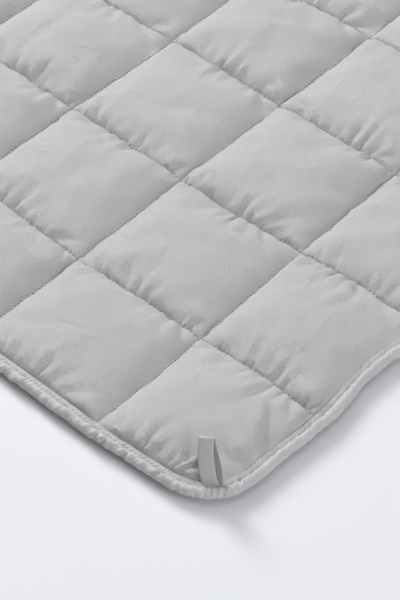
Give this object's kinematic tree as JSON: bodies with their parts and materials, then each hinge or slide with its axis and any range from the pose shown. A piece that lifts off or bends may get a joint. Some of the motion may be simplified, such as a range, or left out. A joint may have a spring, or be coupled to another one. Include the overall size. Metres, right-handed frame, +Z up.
{
  "type": "weighted blanket",
  "caption": "Quilted weighted blanket lying flat, with square filled pockets, a bound edge with rounded corners and a folded tape loop at each corner.",
  "frame": {"origin": "under the middle of the blanket, on the surface that it lies on", "axes": "+Z up from the surface, +Y along the blanket's length, +X across its width"},
  "size_m": [1.22, 1.83, 0.0409],
  "materials": {
    "grey_cloth": "matte",
    "grey_binding_tape": "matte",
    "grey_loop_tape": "matte"
  },
  "bodies": {
    "root": {"quilted_body": "grey_cloth", "binding": "grey_binding_tape", "loop_near_left": "grey_loop_tape", "loop_near_right": "grey_loop_tape", "loop_far_left": "grey_loop_tape", "loop_far_right": "grey_loop_tape"}
  },
  "joints": []
}
